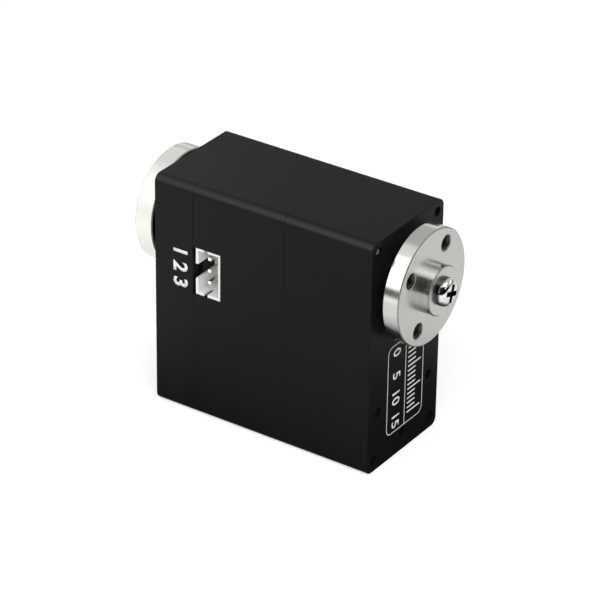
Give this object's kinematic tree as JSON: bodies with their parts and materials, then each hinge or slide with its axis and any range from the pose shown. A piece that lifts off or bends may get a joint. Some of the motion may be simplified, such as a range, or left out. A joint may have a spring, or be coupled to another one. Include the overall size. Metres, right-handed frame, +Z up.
{
  "type": "robot joint actuator",
  "caption": "Geared rotary actuator for a robot joint: black metal box case, bright output horn in front, idler horn behind, and a bus connector on each side.",
  "frame": {"origin": "centre of the output horn's outer face, on the output axis", "axes": "+X out of the output horn along the output axis, +Y across the narrow width of the case, +Z up from the bottom face"},
  "size_m": [0.0659, 0.0242, 0.0488],
  "materials": {
    "case_anodised": "satin black anodised",
    "horn_aluminium": "turned, satin",
    "screw_steel": "nickel plated",
    "bolt_steel": "black oxide",
    "bearing_steel": "ground",
    "gear_steel": "cut and hardened",
    "pinion_brass": "brass, cut",
    "seal_rubber": "matte",
    "magnet_nickel": "nickel plated",
    "motor_steel": "zinc plated",
    "cap_plastic": "moulded",
    "board_laminate": "solder mask",
    "chip_plastic": "moulded",
    "socket_nylon": "moulded, natural white",
    "pin_tin": "tin plated"
  },
  "bodies": {
    "case": {"front_case": "case_anodised", "middle_case": "case_anodised", "rear_cover": "case_anodised", "case_bolt_1": "bolt_steel", "case_bolt_2": "bolt_steel", "case_bolt_3": "bolt_steel", "case_bolt_4": "bolt_steel", "idler_screw": "screw_steel", "idler_washer": "screw_steel", "front_bearing_outer_ring": "bearing_steel", "tail_bearing_outer_ring": "bearing_steel", "idler_bearing_inner_ring": "bearing_steel", "gear_arbor": "gear_steel", "output_seal": "seal_rubber", "motor_can": "motor_steel", "motor_screw_1": "motor_steel", "motor_screw_2": "motor_steel", "motor_cap": "cap_plastic", "control_board": "board_laminate", "angle_chip": "chip_plastic", "controller_chip": "chip_plastic", "left_socket": "socket_nylon", "right_socket": "socket_nylon", "left_pin_1": "pin_tin", "left_pin_2": "pin_tin", "left_pin_3": "pin_tin", "right_pin_1": "pin_tin", "right_pin_2": "pin_tin", "right_pin_3": "pin_tin"},
    "output": {"output_shaft": "gear_steel", "output_horn": "horn_aluminium", "horn_screw": "screw_steel", "sensor_magnet": "magnet_nickel", "magnet_cup": "pinion_brass", "front_bearing_inner_ring": "bearing_steel", "tail_bearing_inner_ring": "bearing_steel"},
    "third_gear": {"gear_3": "gear_steel"},
    "second_gear": {"gear_2": "gear_steel"},
    "first_gear": {"gear_1": "gear_steel"},
    "rotor": {"motor_shaft": "motor_steel", "motor_pinion": "pinion_brass"},
    "idler": {"idler_horn": "horn_aluminium", "idler_bearing_outer_ring": "bearing_steel"}
  },
  "joints": [
    {"name": "output_turn", "type": "hinge", "parent": "case", "child": "output", "pos_m": [0, 0, 0], "axis": [1, 0, 0], "continuous": true},
    {"name": "third_gear_turn", "type": "hinge", "parent": "case", "child": "third_gear", "pos_m": [-0.015, 0, -0.012], "axis": [1, 0, 0], "continuous": true},
    {"name": "second_gear_turn", "type": "hinge", "parent": "case", "child": "second_gear", "pos_m": [-0.019, 0, 0], "axis": [1, 0, 0], "continuous": true},
    {"name": "first_gear_turn", "type": "hinge", "parent": "case", "child": "first_gear", "pos_m": [-0.022, 0, -0.012], "axis": [1, 0, 0], "continuous": true},
    {"name": "rotor_turn", "type": "hinge", "parent": "case", "child": "rotor", "pos_m": [-0.024, 0, -0.0244], "axis": [1, 0, 0], "continuous": true},
    {"name": "idler_turn", "type": "hinge", "parent": "case", "child": "idler", "pos_m": [-0.0594, 0, 0], "axis": [1, 0, 0], "continuous": true}
  ],
  "couplings": [
    {"joint": "third_gear_turn", "follows": "output_turn", "ratio": -3},
    {"joint": "second_gear_turn", "follows": "output_turn", "ratio": 9},
    {"joint": "first_gear_turn", "follows": "output_turn", "ratio": -29.571},
    {"joint": "rotor_turn", "follows": "output_turn", "ratio": 101.39}
  ]
}
